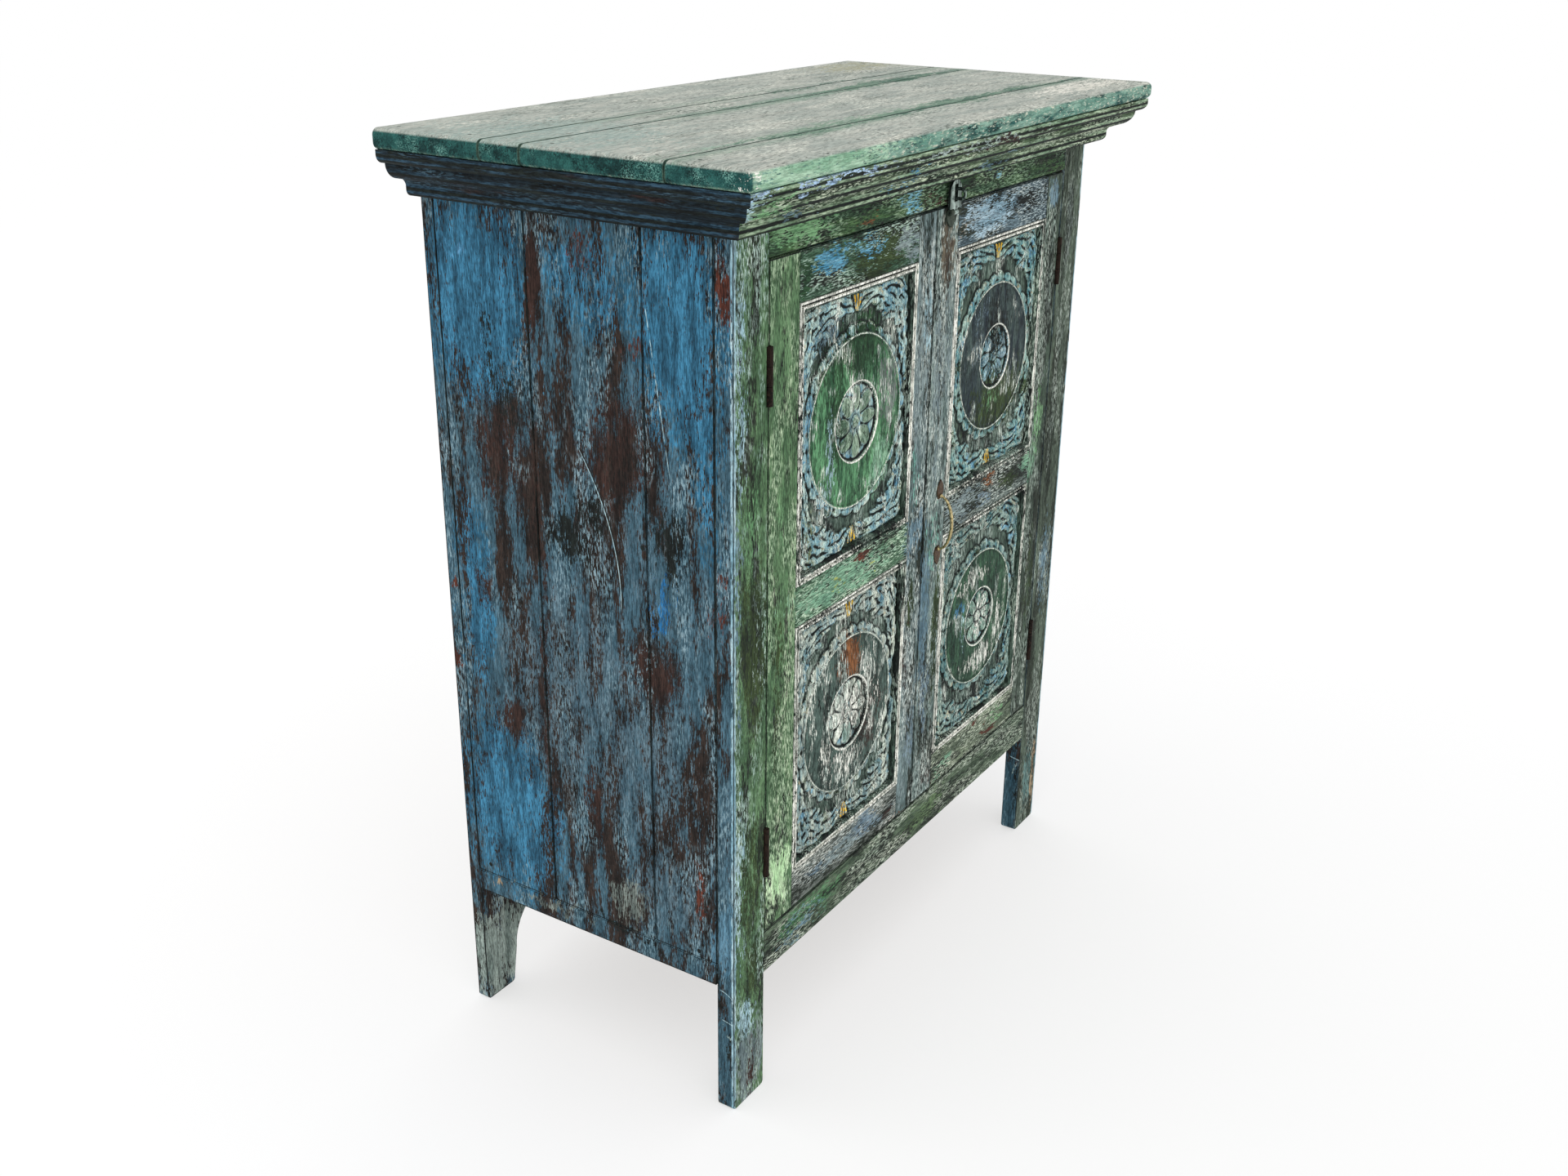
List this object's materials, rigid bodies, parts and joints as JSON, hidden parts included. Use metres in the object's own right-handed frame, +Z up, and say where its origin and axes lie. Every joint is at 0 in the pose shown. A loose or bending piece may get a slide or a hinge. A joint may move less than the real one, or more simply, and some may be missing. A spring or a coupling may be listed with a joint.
{
  "type": "two-door cabinet",
  "caption": "Painted country cabinet with two framed, carved-panel doors on butt hinges, a moulded cornice, plank top, straight legs, a pull and a hasp and staple.",
  "frame": {"origin": "on the floor, under the middle of the bounding box", "axes": "+X to the right as seen from the front, +Y to the back, +Z up; the doors face -Y"},
  "size_m": [0.92, 0.45, 1.07],
  "materials": {
    "bleached_top": "bleached, worn paint on dry planks",
    "cornice_paint": "dark worn paint, rubbed blue and green",
    "side_paint": "worn steel-blue paint over dark wood",
    "frame_paint": "worn grey-green paint",
    "door_paint": "worn green and blue paint",
    "carved_paint": "worn green and blue paint on carving",
    "bare_wood": "unpainted aged wood",
    "rusted_iron": "rusted",
    "painted_iron": "iron under worn paint",
    "old_brass": "aged"
  },
  "bodies": {
    "case": {"back_board_1": "bare_wood", "back_board_2": "bare_wood", "back_board_3": "bare_wood", "back_bottom_rail": "bare_wood", "back_top_rail": "bare_wood", "cornice_front": "cornice_paint", "cornice_left": "cornice_paint", "cornice_right": "cornice_paint", "door_stop": "bare_wood", "floor_board_front": "bare_wood", "floor_board_rear": "bare_wood", "front_bottom_rail": "frame_paint", "front_left_post": "frame_paint", "front_right_post": "frame_paint", "front_top_rail": "frame_paint", "hasp_staple": "painted_iron", "hinge_case_leaves": "rusted_iron", "hinge_pins": "rusted_iron", "left_side_board_front": "side_paint", "left_side_board_middle": "side_paint", "left_side_board_rear": "side_paint", "left_side_bottom_rail": "side_paint", "rear_left_post": "side_paint", "rear_right_post": "side_paint", "right_side_board_front": "side_paint", "right_side_board_middle": "side_paint", "right_side_board_rear": "side_paint", "right_side_bottom_rail": "side_paint", "shelf_board_front": "bare_wood", "shelf_board_rear": "bare_wood", "side_battens": "bare_wood", "top_plank_front": "bleached_top", "top_plank_middle": "bleached_top", "top_plank_narrow": "bleached_top", "top_plank_rear": "bleached_top"},
    "left_door": {"left_door_hinge_stile": "door_paint", "left_door_meeting_stile": "door_paint", "left_door_top_rail": "door_paint", "left_door_middle_rail": "door_paint", "left_door_bottom_rail": "door_paint", "left_door_upper_panel": "carved_paint", "left_door_lower_panel": "carved_paint", "left_door_mouldings": "door_paint", "left_door_hinge_leaves": "rusted_iron"},
    "right_door": {"right_door_hinge_stile": "door_paint", "right_door_meeting_stile": "door_paint", "right_door_top_rail": "door_paint", "right_door_middle_rail": "door_paint", "right_door_bottom_rail": "door_paint", "right_door_upper_panel": "carved_paint", "right_door_lower_panel": "carved_paint", "right_door_mouldings": "door_paint", "right_door_hinge_leaves": "rusted_iron", "pull_bow": "old_brass", "pull_plates": "rusted_iron", "hasp_plate": "painted_iron", "hasp_pin": "painted_iron"},
    "hasp": {"hasp_leaf": "painted_iron"}
  },
  "joints": [
    {"name": "left_door_hinge", "type": "hinge", "parent": "case", "child": "left_door", "pos_m": [-0.3392, -0.166, 0.5885], "axis": [0, 0, -1], "range_deg": [0, 115]},
    {"name": "right_door_hinge", "type": "hinge", "parent": "case", "child": "right_door", "pos_m": [0.3392, -0.166, 0.5885], "axis": [0, 0, 1], "range_deg": [0, 115]},
    {"name": "hasp_hinge", "type": "hinge", "parent": "right_door", "child": "hasp", "pos_m": [0.03025, -0.17, 0.96], "axis": [1, 0, 0], "range_deg": [0, 170]}
  ]
}
